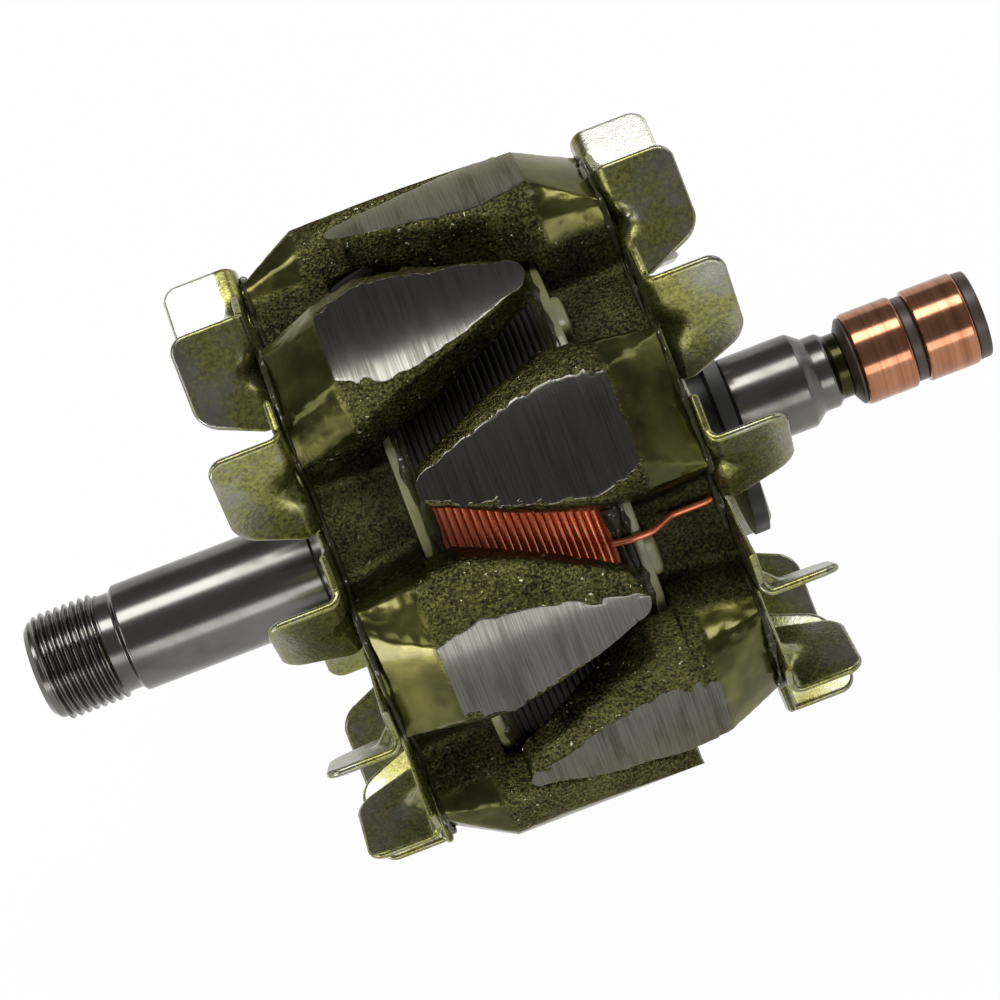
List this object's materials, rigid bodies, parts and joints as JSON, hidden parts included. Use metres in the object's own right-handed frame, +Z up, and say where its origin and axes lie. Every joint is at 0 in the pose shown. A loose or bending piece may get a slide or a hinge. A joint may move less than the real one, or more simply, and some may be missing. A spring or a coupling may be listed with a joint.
{
  "type": "alternator rotor",
  "caption": "Claw-pole alternator rotor: interleaved forged claws round a field coil, a bladed fan at each end, and a shaft with bearing seats, thread and slip rings.",
  "frame": {"origin": "middle of the overall length, on the shaft's axis", "axes": "+X along the shaft towards the slip rings, +Z up"},
  "size_m": [0.1528, 0.098, 0.098],
  "materials": {
    "ground_steel": "ground",
    "varnished_iron": "forged, varnished, turned on the outside",
    "core_iron": "turned",
    "fan_sheet": "plated sheet, patchy varnish",
    "bobbin_nylon": "moulded, varnished",
    "coil_copper": "enamelled copper",
    "lead_copper": "enamelled copper",
    "ring_copper": "turned copper",
    "hub_moulding": "moulded",
    "cap_moulding": "moulded",
    "sleeve": "varnished tube"
  },
  "bodies": {
    "root": {"shaft": "ground_steel", "pole_core": "core_iron", "drive_end_claw_pole": "varnished_iron", "slip_ring_end_claw_pole": "varnished_iron", "drive_end_fan": "fan_sheet", "slip_ring_end_fan": "fan_sheet", "coil_bobbin": "bobbin_nylon", "field_coil": "coil_copper", "lead_cap": "cap_moulding", "slip_ring_insulator": "hub_moulding", "slip_ring_inboard": "ring_copper", "slip_ring_outboard": "ring_copper", "conductor_bar_inboard": "ring_copper", "conductor_bar_outboard": "ring_copper", "field_lead_start": "lead_copper", "field_lead_finish": "lead_copper", "lead_sleeve_start": "sleeve", "lead_sleeve_finish": "sleeve", "lead_joint_start": "ring_copper", "lead_joint_finish": "ring_copper"}
  },
  "joints": []
}
